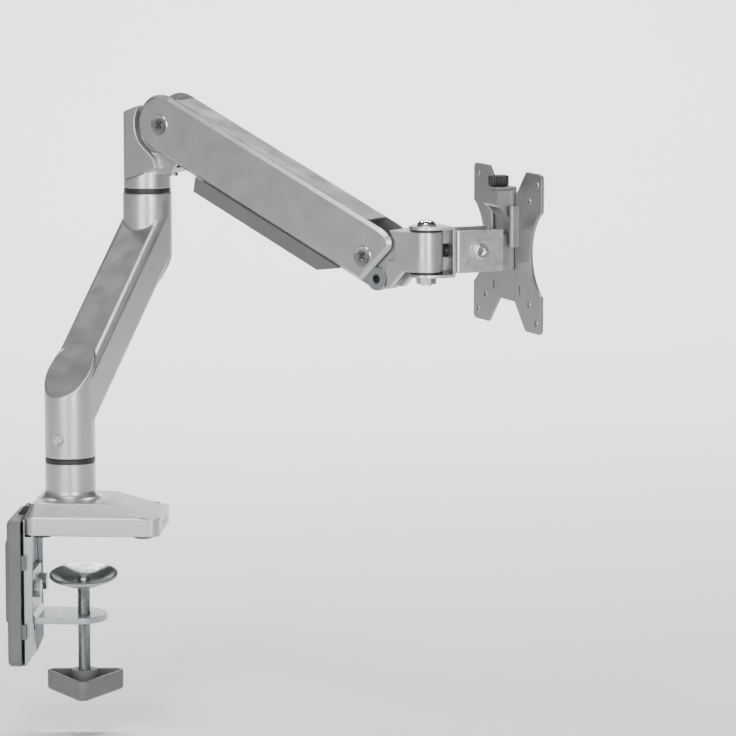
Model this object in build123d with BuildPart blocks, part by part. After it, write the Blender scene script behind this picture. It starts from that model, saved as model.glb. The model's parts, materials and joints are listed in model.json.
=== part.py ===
from build123d import *
from math import atan2, cos, degrees, radians, sin, sqrt
import os

# A clamp-on monitor arm. Millimetres, +Z up, +X over the desk.
# The origin is on the post's axis, in the plane of the desk top.

# Headings, in degrees from +X towards +Y
LEAN_HEADING = 66
ARM_HEADING = -31
HEAD_HEADING = 27

# Base casting and post
BASE_BACK = -30
BASE_FRONT = 69.5
BASE_HALF = 35
BASE_CORNER = 8
PAD_HEIGHT = 1.5
PAD_RADIUS = 7
WALL_TOP = 15
DECK_TOP = 25
DECK_INSET = 6
RAMP_START = 30
RAMP_END = 62
POST_RADIUS = 18.5
POST_FOOT_RADIUS = 25
POST_TOP = 51.8
SPINDLE_RADIUS = 12
SPINDLE_FOOT = 30
SPINDLE_TOP = 86
HOLLOW_HEIGHT = 17
WASHER_GAP = 0.2
SLEEVE_RADIUS = 14
RUNNING_GAP = 0.05

# Lower arm
ARM_BOTTOM = 55.1
LEAN_LENGTH = 112.3
LEAN_RISE = 112.3
LEAN_UNDER = 72.8
BAR_HEIGHT = 47
LOWER_TOP = 241
SET_SCREW_Z = 70
SET_SCREW_ANGLE = 250
SET_SCREW_RADIUS = 3.5
LOWER_SOCKET = 33
UPPER_SOCKET = 35

# Elbow
ELBOW_X = LEAN_LENGTH * cos(radians(LEAN_HEADING))
ELBOW_Y = LEAN_LENGTH * sin(radians(LEAN_HEADING))
ELBOW_RADIUS = 17.75
KNUCKLE_BOTTOM = 244.4
KNUCKLE_TOP = 312
SHAFT_FOOT = 208
SHAFT_LENGTH = 50
TENSION_HEAD_Z = 254.6
TENSION_SCREW_RADIUS = 2.5

# Linkage pivots, forward of the elbow axis and above the desk
REAR_PIVOT = (23.1, 293.4)
FRONT_PIVOT = (208.1, 206.9)
LINK_OFFSET = (10.2, -16.2)
REAR_LINK = (REAR_PIVOT[0] + LINK_OFFSET[0], REAR_PIVOT[1] + LINK_OFFSET[1])
FRONT_LINK = (FRONT_PIVOT[0] + LINK_OFFSET[0], FRONT_PIVOT[1] + LINK_OFFSET[1])
PIVOT_RADIUS = 4
LINK_PIN_RADIUS = 3.3
CAP_RADIUS = 7.8
CAP_SEAT = 14
CAP_FACE = 15.3

# Upper arm section, half widths from its middle plane
PLATE_IN = 12
PLATE_OUT = 15
LINK_IN = 9.3
LINK_OUT = 11.7
TONGUE_HALF = 9
SLOT_HALF = 6.3
PLATE_SLOPE = -24.34
PLATE_LOW = -20.2
PLATE_HIGH = 22.8
PLATE_BEVEL = 2.8
COVER_LOW = -31.4
CHANNEL_FLOOR = COVER_LOW + 1.8
CHANNEL_IN = 9

# Gas spring
SPRING_REAR = (31, 274)
SPRING_FRONT = (158.1, 228)
TUBE_RADIUS = 7.6
TUBE_START = 27
TUBE_END = 108
TUBE_WALL = 1.2
CLEVIS_END = 15
CLEVIS_OUT = 6.1
PISTON_START = 62
ROD_RADIUS = 3
EYE_OUTER = 11.2
EYE_BORE = 8.6
REAR_PIN_RADIUS = 2.2
FRONT_PIN_RADIUS = 2.5

# Head
SWIVEL_AHEAD = 254.2
HEAD_Z = 212
HUB_RADIUS = 12
HUB_HALF = 14.65
HEAD_STEEL = 2.2
FLANGE_IN = 16.15
FLANGE_OUT = FLANGE_IN + HEAD_STEEL
SWIVEL_WEB = 15
SWIVEL_BOLT_RADIUS = 4
KNUCKLE_WASHER = 1.35
ROTATION_BOLT_RADIUS = 3
TILT_WEB = SWIVEL_WEB + HEAD_STEEL + 0.3
TILT_BOLT_RADIUS = 4
TILT_AHEAD = 35.6
EAR_HALF = 15.25
EAR_END = 54
EAR_OUT = 15
WASHER_OUT = EAR_OUT + 1.4
TILT_HEAD_HEIGHT = 3.4
TILT_POINT = (TILT_AHEAD, 0)
RECEIVER_EAR = 12.5
RECEIVER_BACK = 60.8
RECEIVER_HALF = 13.9
KNOB_AHEAD = 57
STUD_RADIUS = 2.5
STUD_LENGTH = 12
PLATE_BACK = 63.6
PLATE_THICK = 2.5
PLATE_HALF = 57.5
RECEIVER_TOP = 43
HOOD_FRONT = 50.5
RAIL_IN = 15.5
RAIL_WIDE = 4.2
TAB_LOW = RECEIVER_TOP + 0.2
TAB_THICK = 2

# Clamp
STEEL_BACK = -32.7
STEEL_FRONT = -30.2
CHANNEL_FRONT = -25.1
CHANNEL_HALF = 28
CHANNEL_LOW = -97
CHANNEL_TOP = 11.5
BRACKET_SCREW_Y = 18
BRACKET_SCREW_Z = 5.5
BRACKET_SCREW_RADIUS = 2.5
SCREW_HEAD_HEIGHT = 2.6
JAW_BOLT_Y = 15
JAW_BOLT_Z = -41
SPARE_BOLT_Z = -75
JAW_BOLT_RADIUS = 4
COVER_MIDDLE = -42.15
COVER_WIDTH = 68
COVER_HEIGHT = 109.7
COVER_DEPTH = 10.3
COVER_WALL = 2.5
JAW_TOP = -62
JAW_THICK = 4.5
JAW_HALF = 22
JAW_END = 26.5
JAW_FACE = STEEL_FRONT + JAW_THICK
JAW_BOTTOM = -65
JAW_PLATE_TOP = -28
SCREW_X = 9
SCREW_RADIUS = 4.85
DISC_RADIUS = 25.3
BALL_Z = -37
DISC_TILT = 9
KNOB_TOP = -107.4
KNOB_LOW = -122.3
KNOB_CORNER = -85
KNOB_BOSS_TOP = -104
SCREW_FOOT = KNOB_LOW + 3
NECK_RADIUS = 3.1

os.makedirs("parts", exist_ok=True)


def upright(x, y, heading, z=0):
    """A vertical plane: local x runs along the heading, local y is up."""
    c = cos(radians(heading))
    s = sin(radians(heading))
    return Plane(origin=(x, y, z), x_dir=(c, s, 0), z_dir=(s, -c, 0))


def forward(x, y=0, z=0):
    """A plane facing +X, with local x along +Y and local y up."""
    return Plane(origin=(x, y, z), x_dir=(0, 1, 0), z_dir=(1, 0, 0))


def rearward(x, y=0, z=0):
    """A plane facing -X, with local y up."""
    return Plane(origin=(x, y, z), x_dir=(0, -1, 0), z_dir=(-1, 0, 0))


def save(builder, name):
    builder.part.label = name
    export_step(builder.part, f"parts/{name}.step")


c_arm = cos(radians(ARM_HEADING))
s_arm = sin(radians(ARM_HEADING))
SWIVEL_X = ELBOW_X + SWIVEL_AHEAD * c_arm
SWIVEL_Y = ELBOW_Y + SWIVEL_AHEAD * s_arm
LEAN = upright(0, 0, LEAN_HEADING)
ARM = upright(ELBOW_X, ELBOW_Y, ARM_HEADING)
HEAD = upright(SWIVEL_X, SWIVEL_Y, HEAD_HEADING, HEAD_Z)
HEAD_LEVEL = Plane(origin=HEAD.origin, x_dir=HEAD.x_dir, z_dir=(0, 0, 1))
PLATE = Plane(
    origin=ARM.from_local_coords((REAR_PIVOT[0], REAR_PIVOT[1], 0)),
    x_dir=ARM.x_dir * cos(radians(PLATE_SLOPE)) + ARM.y_dir * sin(radians(PLATE_SLOPE)),
    z_dir=ARM.z_dir,
)
FACING = Plane(origin=HEAD.origin, x_dir=-HEAD.z_dir, z_dir=HEAD.x_dir)


def layers(plane, inner, outer, draw, mode=Mode.ADD):
    """Extrude what draw() sketches, on both sides of the plane, from inner to outer."""
    for side in (1, -1):
        with BuildSketch(plane.offset(side * inner)) as profile:
            draw()
        extrude(profile.sketch, amount=side * (outer - inner), mode=mode)


def outline(*points):
    """A closed polygon as a face of the current sketch."""
    with BuildLine() as border:
        Polyline(*points, close=True)
    make_face(border.edges())


def disc_at(point, radius):
    with Locations(point):
        Circle(radius)


def drum(plane, radius, amount, mode=Mode.ADD):
    """A round bar or bore from the plane's origin along its normal."""
    with BuildSketch(plane) as profile:
        Circle(radius)
    extrude(profile.sketch, amount=amount, mode=mode)


# ---------------------------------------------------------------- base

with BuildPart() as base_casting:
    with BuildSketch(Plane.XY.offset(PAD_HEIGHT)):
        with Locations(((BASE_BACK + BASE_FRONT) / 2, 0)):
            RectangleRounded(BASE_FRONT - BASE_BACK, 2 * BASE_HALF, BASE_CORNER)
    extrude(amount=WALL_TOP - PAD_HEIGHT)
    with BuildSketch(Plane.XY.offset(WALL_TOP)):
        with Locations(((BASE_BACK + BASE_FRONT) / 2, 0)):
            RectangleRounded(BASE_FRONT - BASE_BACK, 2 * BASE_HALF, BASE_CORNER)
    slope = degrees(atan2(DECK_INSET, DECK_TOP - WALL_TOP))
    extrude(amount=DECK_TOP - WALL_TOP, taper=slope)
    # the ramp at the front
    with BuildSketch(Plane.XZ):
        with BuildLine():
            Polyline(
                (RAMP_START, DECK_TOP),
                (RAMP_END, WALL_TOP),
                (BASE_FRONT + 10, WALL_TOP),
                (BASE_FRONT + 10, DECK_TOP + 10),
                (RAMP_START, DECK_TOP + 10),
                close=True,
            )
        make_face()
    extrude(amount=BASE_HALF + 5, both=True, mode=Mode.SUBTRACT)
    # the post with its flared foot
    with BuildSketch(Plane.XZ):
        with BuildLine():
            flare = POST_FOOT_RADIUS - POST_RADIUS
            Polyline((0, WALL_TOP), (0, POST_TOP), (POST_RADIUS, POST_TOP))
            Line((POST_RADIUS, POST_TOP), (POST_RADIUS, DECK_TOP + flare))
            RadiusArc(
                (POST_RADIUS, DECK_TOP + flare), (POST_FOOT_RADIUS, DECK_TOP), -flare
            )
            Polyline(
                (POST_FOOT_RADIUS, DECK_TOP), (POST_FOOT_RADIUS, WALL_TOP), (0, WALL_TOP)
            )
        make_face()
    revolve(axis=Axis.Z)
    # the spindle's bore and the hollow underneath
    with Locations((0, 0, POST_TOP)):
        Hole(SPINDLE_RADIUS, depth=POST_TOP - SPINDLE_FOOT)
    with BuildSketch(Plane.XY):
        with Locations((14, 0)):
            RectangleRounded(56, 34, 4)
    extrude(amount=HOLLOW_HEIGHT, mode=Mode.SUBTRACT)
    # sockets for the hex keys in the front wall
    for key_y, key_radius in ((-9, 1.6), (0, 2.1), (9, 2.6)):
        with Locations(forward(BASE_FRONT, key_y, 8.5)):
            Hole(key_radius, depth=18)
    # tapped holes for the bracket's screws
    for screw_y in (-BRACKET_SCREW_Y, BRACKET_SCREW_Y):
        with Locations(rearward(BASE_BACK, screw_y, BRACKET_SCREW_Z)):
            Hole(BRACKET_SCREW_RADIUS, depth=12)
save(base_casting, "base_casting")

with BuildPart() as base_pads:
    with BuildSketch():
        with Locations((-17, -26), (-17, 26), (57, -26), (57, 26)):
            Circle(PAD_RADIUS)
    extrude(amount=PAD_HEIGHT)
save(base_pads, "base_pads")

with BuildPart() as post_spindle:
    with BuildSketch(Plane.XY.offset(SPINDLE_FOOT)):
        Circle(SPINDLE_RADIUS)
    extrude(amount=SPINDLE_TOP - SPINDLE_FOOT)
    chamfer(post_spindle.edges().group_by(Axis.Z)[-1], 1.5)
save(post_spindle, "post_spindle")

with BuildPart() as base_washer:
    with BuildSketch(Plane.XY.offset(POST_TOP)):
        Circle(POST_RADIUS)
        Circle(SPINDLE_RADIUS, mode=Mode.SUBTRACT)
    extrude(amount=ARM_BOTTOM - WASHER_GAP - POST_TOP)
save(base_washer, "base_washer")

# ---------------------------------------------------------------- clamp

with BuildPart() as clamp_bracket:
    # a steel channel: web against the base, flanges forward
    with BuildSketch(Plane.XY.offset(CHANNEL_LOW)):
        with BuildLine():
            edge = CHANNEL_HALF
            steel = STEEL_FRONT - STEEL_BACK
            Polyline(
                (STEEL_BACK, -edge),
                (CHANNEL_FRONT, -edge),
                (CHANNEL_FRONT, -edge + steel),
                (STEEL_FRONT, -edge + steel),
                (STEEL_FRONT, edge - steel),
                (CHANNEL_FRONT, edge - steel),
                (CHANNEL_FRONT, edge),
                (STEEL_BACK, edge),
                close=True,
            )
        make_face()
    extrude(amount=CHANNEL_TOP - CHANNEL_LOW)
    fillet(
        clamp_bracket.edges().filter_by(Axis.Z).group_by(Axis.X)[0],
        radius=2,
    )
    # flanges stop under the base and slope off at the bottom
    with BuildSketch(Plane.XZ):
        with BuildLine():
            Polyline(
                (STEEL_FRONT + 0.01, 12),
                (CHANNEL_FRONT + 1, 12),
                (CHANNEL_FRONT + 1, -0.5),
                (STEEL_FRONT + 0.01, -0.5),
                close=True,
            )
        make_face()
        with BuildLine():
            Polyline(
                (STEEL_FRONT, CHANNEL_LOW),
                (CHANNEL_FRONT + 1, CHANNEL_LOW),
                (CHANNEL_FRONT + 1, CHANNEL_LOW + 14),
                close=True,
            )
        make_face()
    extrude(amount=CHANNEL_HALF + 1, both=True, mode=Mode.SUBTRACT)
    # holes: two to the base, and rows for the jaw's heights
    for hole_y, hole_z, hole_radius in (
        (-BRACKET_SCREW_Y, BRACKET_SCREW_Z, BRACKET_SCREW_RADIUS + 0.1),
        (BRACKET_SCREW_Y, BRACKET_SCREW_Z, BRACKET_SCREW_RADIUS + 0.1),
        (-JAW_BOLT_Y, JAW_BOLT_Z, JAW_BOLT_RADIUS),
        (JAW_BOLT_Y, JAW_BOLT_Z, JAW_BOLT_RADIUS),
        (-JAW_BOLT_Y, SPARE_BOLT_Z, JAW_BOLT_RADIUS),
        (JAW_BOLT_Y, SPARE_BOLT_Z, JAW_BOLT_RADIUS),
    ):
        with Locations(rearward(STEEL_BACK, hole_y, hole_z)):
            Hole(hole_radius, depth=6)
save(clamp_bracket, "clamp_bracket")

with BuildPart() as bracket_screws:
    for screw_y in (-BRACKET_SCREW_Y, BRACKET_SCREW_Y):
        drum(forward(STEEL_BACK, screw_y, BRACKET_SCREW_Z), BRACKET_SCREW_RADIUS, 12)
        drum(rearward(STEEL_BACK, screw_y, BRACKET_SCREW_Z), 4.3, SCREW_HEAD_HEIGHT)
        with BuildSketch(rearward(STEEL_BACK - SCREW_HEAD_HEIGHT, screw_y, BRACKET_SCREW_Z)):
            RegularPolygon(1.7, 6)
        extrude(amount=-1.6, mode=Mode.SUBTRACT)
save(bracket_screws, "bracket_screws")

with BuildPart() as back_cover:
    with BuildSketch(rearward(STEEL_BACK, 0, COVER_MIDDLE)):
        RectangleRounded(COVER_WIDTH, COVER_HEIGHT, 6)
    extrude(amount=COVER_DEPTH)
    fillet(back_cover.faces().sort_by(Axis.X)[0].edges(), radius=3)
    with BuildSketch(rearward(STEEL_BACK - COVER_DEPTH, 0, -35)):
        RectangleRounded(52, 62, 5)
    extrude(amount=2.3)
    fillet(back_cover.faces().sort_by(Axis.X)[0].edges(), radius=1.2)
    with BuildSketch(rearward(STEEL_BACK, 0, COVER_MIDDLE)):
        RectangleRounded(COVER_WIDTH - 2 * COVER_WALL, COVER_HEIGHT - 2 * COVER_WALL, 4)
    extrude(amount=COVER_DEPTH - COVER_WALL, mode=Mode.SUBTRACT)
    # clips that hook the channel's sides
    for side in (-1, 1):
        for clip_z in (-19.5, -71):
            with BuildSketch(forward(STEEL_BACK - 3)):
                with Locations((side * 29.9, clip_z)):
                    Rectangle(3.8, 11)
            extrude(amount=6.4)
save(back_cover, "back_cover")

with BuildPart() as cable_tab:
    with BuildSketch(Plane.XZ) as tab_side:
        with BuildLine():
            Polyline((-38.5, 12.7), (-30.2, 12.7), (-30.2, 19), (-33.5, 19), close=True)
        make_face()
    extrude(amount=7, both=True)
    fillet(cable_tab.edges().filter_by(Axis.Y).group_by(Axis.Z)[-1], radius=1.4)
save(cable_tab, "cable_tab")

with BuildPart() as clamp_jaw:
    with BuildSketch(Plane.XY.offset(JAW_TOP - JAW_THICK)):
        with BuildLine():
            Polyline(
                (10, -JAW_HALF),
                (STEEL_FRONT, -JAW_HALF),
                (STEEL_FRONT, JAW_HALF),
                (10, JAW_HALF),
            )
            ThreePointArc((10, JAW_HALF), (JAW_END, 0), (10, -JAW_HALF))
        make_face()
    extrude(amount=JAW_THICK)
    with BuildSketch(forward(STEEL_FRONT)):
        with Locations((0, (JAW_PLATE_TOP + JAW_BOTTOM) / 2)):
            Rectangle(2 * JAW_HALF, JAW_PLATE_TOP - JAW_BOTTOM)
    extrude(amount=JAW_THICK)
    fillet(clamp_jaw.edges().filter_by(Axis.X).group_by(Axis.Z)[-1], radius=4)
    with BuildSketch(Plane.XZ):
        with BuildLine():
            Polyline(
                (JAW_FACE, JAW_TOP),
                (JAW_FACE + 3, JAW_TOP),
                (JAW_FACE, JAW_TOP + 3),
                close=True,
            )
        make_face()
    extrude(amount=JAW_HALF, both=True)
    with Locations((SCREW_X, 0, JAW_TOP)):
        Hole(SCREW_RADIUS + RUNNING_GAP, depth=10)
    for hole_y in (-JAW_BOLT_Y, JAW_BOLT_Y):
        drum(forward(JAW_FACE, hole_y, JAW_BOLT_Z), JAW_BOLT_RADIUS, -6, mode=Mode.SUBTRACT)
save(clamp_jaw, "clamp_jaw")

with BuildPart() as jaw_bolts:
    for bolt_y in (-JAW_BOLT_Y, JAW_BOLT_Y):
        with BuildSketch(forward(JAW_FACE, bolt_y, JAW_BOLT_Z)):
            RegularPolygon(7, 6)
        extrude(amount=5.3)
        drum(forward(JAW_FACE, bolt_y, JAW_BOLT_Z), JAW_BOLT_RADIUS, -10.5)
save(jaw_bolts, "jaw_bolts")

# the tilting foot: its ball sits on the screw's neck
with BuildPart() as disc_retainer:
    with BuildSketch(Plane.XZ):
        with BuildLine():
            bore = SCREW_X + NECK_RADIUS + RUNNING_GAP
            Line((bore, BALL_Z - 2.6), (bore, BALL_Z + 2.6))
            ThreePointArc((bore, BALL_Z + 2.6), (SCREW_X + 4.1, BALL_Z), (bore, BALL_Z - 2.6))
        make_face()
    revolve(axis=Axis((SCREW_X, 0, 0), (0, 0, 1)))
save(disc_retainer, "disc_retainer")

DISC = Plane(origin=(SCREW_X, 0, BALL_Z), z_dir=(0, 0, 1)).rotated((DISC_TILT, 0, 0))
DISC_SIDE = Plane(origin=DISC.origin, x_dir=DISC.x_dir, z_dir=-DISC.y_dir)
with BuildPart() as pressure_disc:
    with BuildSketch(DISC_SIDE):
        with BuildLine():
            Polyline(
                (4.8, -4.2),
                (4.8, 0.2),
                (8, 0.6),
                (12.5, 1.2),
                (20, 4.2),
                (23.5, 5.4),
                (DISC_RADIUS, 5),
                (DISC_RADIUS, 3.2),
                (22.5, 2.4),
                (14.5, -2),
                (9, -4.2),
                close=True,
            )
        make_face()
    revolve(axis=Axis(DISC.origin, DISC.z_dir))
save(pressure_disc, "pressure_disc")

with BuildPart() as clamp_screw:
    with BuildSketch(Plane.XZ):
        with BuildLine():
            Polyline(
                (SCREW_X, SCREW_FOOT),
                (SCREW_X + SCREW_RADIUS, SCREW_FOOT),
                (SCREW_X + SCREW_RADIUS, -44.2),
                (SCREW_X + NECK_RADIUS, -42.8),
                (SCREW_X + NECK_RADIUS, -34.2),
                (SCREW_X + 3.7, -34.2),
                (SCREW_X + 2.6, -32.9),
                (SCREW_X, -32.9),
                close=True,
            )
        make_face()
    revolve(axis=Axis((SCREW_X, 0, 0), (0, 0, 1)))
save(clamp_screw, "clamp_screw")

with BuildPart() as clamp_knob:
    with BuildSketch(Plane.XY.offset(KNOB_LOW)) as knob_plan:
        with Locations((SCREW_X, 0)):
            with PolarLocations(25, 3, start_angle=KNOB_CORNER):
                Circle(6.5)
        make_hull()
    extrude(amount=KNOB_TOP - KNOB_LOW)
    fillet(clamp_knob.edges().group_by(Axis.Z)[0], radius=3)
    with BuildSketch(Plane.XY.offset(KNOB_TOP)):
        offset(knob_plan.sketch.moved(Location((0, 0, KNOB_TOP - KNOB_LOW))), amount=-3)
    extrude(amount=-9, mode=Mode.SUBTRACT)
    with BuildSketch(Plane.XY.offset(KNOB_LOW + 4)):
        with Locations((SCREW_X, 0)):
            Circle(9.5)
    extrude(amount=KNOB_BOSS_TOP - KNOB_LOW - 4)
    with Locations((SCREW_X, 0, KNOB_BOSS_TOP)):
        Hole(SCREW_RADIUS, depth=KNOB_BOSS_TOP - SCREW_FOOT)
save(clamp_knob, "clamp_knob")

# ---------------------------------------------------------------- lower arm

BACK_FACE = LEAN_UNDER + BAR_HEIGHT
BARREL_END = POST_RADIUS + 1


def barrel_trims():
    """Everything above the bar's back face at the foot, and under it at the head."""
    outline(
        (-BARREL_END, BACK_FACE - BARREL_END),
        (BARREL_END, BACK_FACE + BARREL_END),
        (BARREL_END, 150),
        (-BARREL_END, 150),
    )
    outline(
        (LEAN_LENGTH + BARREL_END, LEAN_UNDER + LEAN_LENGTH + BARREL_END),
        (LEAN_LENGTH - BARREL_END, LEAN_UNDER + LEAN_LENGTH - BARREL_END),
        (LEAN_LENGTH - BARREL_END, 150),
        (LEAN_LENGTH + BARREL_END, 150),
    )


with BuildPart() as arm_barrels:
    with BuildSketch(Plane.XY.offset(ARM_BOTTOM)):
        Circle(POST_RADIUS)
    extrude(amount=80)
    with BuildSketch(Plane.XY.offset(160)):
        disc_at((ELBOW_X, ELBOW_Y), POST_RADIUS)
    extrude(amount=LOWER_TOP - 160)
    with BuildSketch(LEAN):
        barrel_trims()
    extrude(amount=BARREL_END, both=True, mode=Mode.SUBTRACT)

SET_SCREW = Plane(
    origin=(0, 0, SET_SCREW_Z),
    z_dir=(cos(radians(SET_SCREW_ANGLE)), sin(radians(SET_SCREW_ANGLE)), 0),
)

with BuildPart() as lower_arm:
    # the leaning bar, with softened long edges
    with BuildSketch(LEAN):
        outline(
            (0, LEAN_UNDER),
            (LEAN_LENGTH, LEAN_UNDER + LEAN_RISE),
            (LEAN_LENGTH, BACK_FACE + LEAN_RISE),
            (0, BACK_FACE),
        )
    extrude(amount=POST_RADIUS, both=True)
    fillet(lower_arm.edges().filter_by(lambda edge: edge.length > LEAN_LENGTH), radius=6)
    # upright barrels at both ends, with sockets for the sleeves
    add(arm_barrels.part)
    drum(Plane.XY.offset(ARM_BOTTOM), SLEEVE_RADIUS, LOWER_SOCKET, mode=Mode.SUBTRACT)
    drum(Plane((ELBOW_X, ELBOW_Y, LOWER_TOP)), SLEEVE_RADIUS, -UPPER_SOCKET, mode=Mode.SUBTRACT)
    drum(SET_SCREW, SET_SCREW_RADIUS, 20, mode=Mode.SUBTRACT)
save(lower_arm, "lower_arm")


def sleeve(z_low, z_high, x, y):
    """A plain nylon sleeve between a shaft and its socket."""
    with BuildSketch(Plane.XY.offset(z_low)) as ring:
        with Locations((x, y)):
            Circle(SLEEVE_RADIUS)
            Circle(SPINDLE_RADIUS + RUNNING_GAP, mode=Mode.SUBTRACT)
    extrude(ring.sketch, amount=z_high - z_low)


with BuildPart() as post_sleeve:
    sleeve(ARM_BOTTOM, 88, 0, 0)
    drum(SET_SCREW, SET_SCREW_RADIUS, 20, mode=Mode.SUBTRACT)
save(post_sleeve, "post_sleeve")

with BuildPart() as elbow_sleeve:
    sleeve(206.5, LOWER_TOP, ELBOW_X, ELBOW_Y)
save(elbow_sleeve, "elbow_sleeve")

with BuildPart() as arm_set_screw:
    drum(SET_SCREW.offset(12.5), SET_SCREW_RADIUS, 5.2)
    with BuildSketch(SET_SCREW.offset(17.7)):
        RegularPolygon(1.8, 6)
    extrude(amount=-3, mode=Mode.SUBTRACT)
save(arm_set_screw, "arm_set_screw")

# ---------------------------------------------------------------- elbow

ELBOW_AXIS = Plane((ELBOW_X, ELBOW_Y, 0))

with BuildPart() as elbow_shaft:
    drum(ELBOW_AXIS.offset(SHAFT_FOOT), SPINDLE_RADIUS, SHAFT_LENGTH)
    chamfer(elbow_shaft.edges().group_by(Axis.Z)[0], 1.5)
save(elbow_shaft, "elbow_shaft")

with BuildPart() as elbow_washer:
    drum(ELBOW_AXIS.offset(LOWER_TOP + WASHER_GAP), ELBOW_RADIUS, 3.2)
    drum(ELBOW_AXIS.offset(LOWER_TOP), SPINDLE_RADIUS, 10, mode=Mode.SUBTRACT)
save(elbow_washer, "elbow_washer")

TENSION_AHEAD = SPRING_REAR[0] - 6
TENSION_AXIS = Plane(ARM.from_local_coords((TENSION_AHEAD, 0, 0)))


def knuckle_top():
    outline((-19, 297), (-14.5, 301), (2.5, 307), (24, 307), (24, KNUCKLE_TOP), (-19, KNUCKLE_TOP))


def knuckle_cheek():
    outline(
        (-9, 250),
        (0, 253.2),
        (19.7, 260.5),
        (17, 268),
        (10, 275),
        (10, 307),
        (2.5, 307),
        (-9, 303),
    )


def knuckle_flats():
    outline((-19, 249), (0, 253.2), (24, 262), (24, KNUCKLE_TOP), (-19, KNUCKLE_TOP))


def knuckle_recess():
    disc_at(REAR_PIVOT, 23.4)
    outline((12, 276), (17.2, 268.2), (20.2, 260), (45, 255), (45, 300), (15, 300))


def elbow_tongue():
    disc_at(REAR_PIVOT, 10.5)
    disc_at(REAR_LINK, 9)
    disc_at((TENSION_AHEAD + 2, 262.5), 5.5)
    disc_at((2, 262), 6)
    disc_at((2, 296), 6)
    make_hull()


def spring_slot():
    """Room for the spring's clevis, opening upwards for the raised arm."""
    outline((19, 261.5), (60, 261.5), (60, 296), (41.3, 296), (26, 284.5), (19, 284.5))


with BuildPart() as elbow_knuckle:
    drum(ELBOW_AXIS.offset(KNUCKLE_BOTTOM), ELBOW_RADIUS, KNUCKLE_TOP - KNUCKLE_BOTTOM)
    layers(ARM, 0, PLATE_OUT, knuckle_cheek)
    layers(ARM, 0, 20, knuckle_top, mode=Mode.SUBTRACT)
    layers(ARM, PLATE_OUT, 20, knuckle_flats, mode=Mode.SUBTRACT)
    # the recess round the arm's end leaves a tongue between the side plates
    layers(ARM, 0, PLATE_OUT + 1, knuckle_recess, mode=Mode.SUBTRACT)
    layers(ARM, 0, TONGUE_HALF, elbow_tongue)
    layers(ARM, 0, SLOT_HALF, spring_slot, mode=Mode.SUBTRACT)
    drum(ELBOW_AXIS.offset(KNUCKLE_BOTTOM), SPINDLE_RADIUS, 13.6, mode=Mode.SUBTRACT)
    drum(TENSION_AXIS.offset(250), TENSION_SCREW_RADIUS + RUNNING_GAP, 12, mode=Mode.SUBTRACT)
    layers(ARM, 0, 12, lambda: disc_at(REAR_PIVOT, PIVOT_RADIUS + RUNNING_GAP), mode=Mode.SUBTRACT)
    layers(ARM, SLOT_HALF, 12, lambda: disc_at(REAR_LINK, LINK_PIN_RADIUS), mode=Mode.SUBTRACT)
save(elbow_knuckle, "elbow_knuckle")


def link_pins(pivot, name):
    """A pair of shoulder screws, one in each side of a knuckle."""
    with BuildPart() as pins:
        layers(ARM, SLOT_HALF + 0.3, LINK_OUT, lambda: disc_at(pivot, LINK_PIN_RADIUS))
        for side in (1, -1):
            with BuildSketch(ARM.offset(side * LINK_OUT)):
                with Locations(pivot):
                    RegularPolygon(2, 6)
            extrude(amount=-side * 2.4, mode=Mode.SUBTRACT)
    save(pins, name)


link_pins(REAR_LINK, "link_pins_rear")

with BuildPart() as tension_screw:
    drum(TENSION_AXIS.offset(TENSION_HEAD_Z), 3.6, 2.1)
    drum(TENSION_AXIS.offset(256), TENSION_SCREW_RADIUS, 28)
    with BuildSketch(TENSION_AXIS.offset(TENSION_HEAD_Z)):
        RegularPolygon(2, 6)
    extrude(amount=1.4, mode=Mode.SUBTRACT)
save(tension_screw, "tension_screw")

with BuildPart() as tension_nut:
    with BuildSketch(ARM):
        with Locations((SPRING_REAR[0] - 3, SPRING_REAR[1])):
            RectangleRounded(14, 9, 1)
    extrude(amount=4, both=True)
    drum(TENSION_AXIS.offset(260), TENSION_SCREW_RADIUS + RUNNING_GAP, 30, mode=Mode.SUBTRACT)
    layers(ARM, 0, 5, lambda: disc_at(SPRING_REAR, REAR_PIN_RADIUS), mode=Mode.SUBTRACT)
save(tension_nut, "tension_nut")

with BuildPart() as spring_rear_pin:
    layers(ARM, 0, CLEVIS_OUT, lambda: disc_at(SPRING_REAR, REAR_PIN_RADIUS))
save(spring_rear_pin, "spring_rear_pin")

# ---------------------------------------------------------------- gas spring

spring_dx = SPRING_FRONT[0] - SPRING_REAR[0]
spring_dy = SPRING_FRONT[1] - SPRING_REAR[1]
SPRING_LENGTH = sqrt(spring_dx**2 + spring_dy**2)
spring_dir = ARM.x_dir * (spring_dx / SPRING_LENGTH) + ARM.y_dir * (spring_dy / SPRING_LENGTH)
SPRING = Plane(
    origin=ARM.from_local_coords((SPRING_REAR[0], SPRING_REAR[1], 0)),
    x_dir=spring_dir,
    z_dir=ARM.z_dir,
)
SPRING_AXIS = Plane(origin=SPRING.origin, x_dir=ARM.z_dir, z_dir=spring_dir)


def clevis():
    disc_at((0, 0), 5.2)
    disc_at((20, 0), 5)
    make_hull()
    with Locations((0, 0)):
        Circle(REAR_PIN_RADIUS + RUNNING_GAP, mode=Mode.SUBTRACT)


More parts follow.
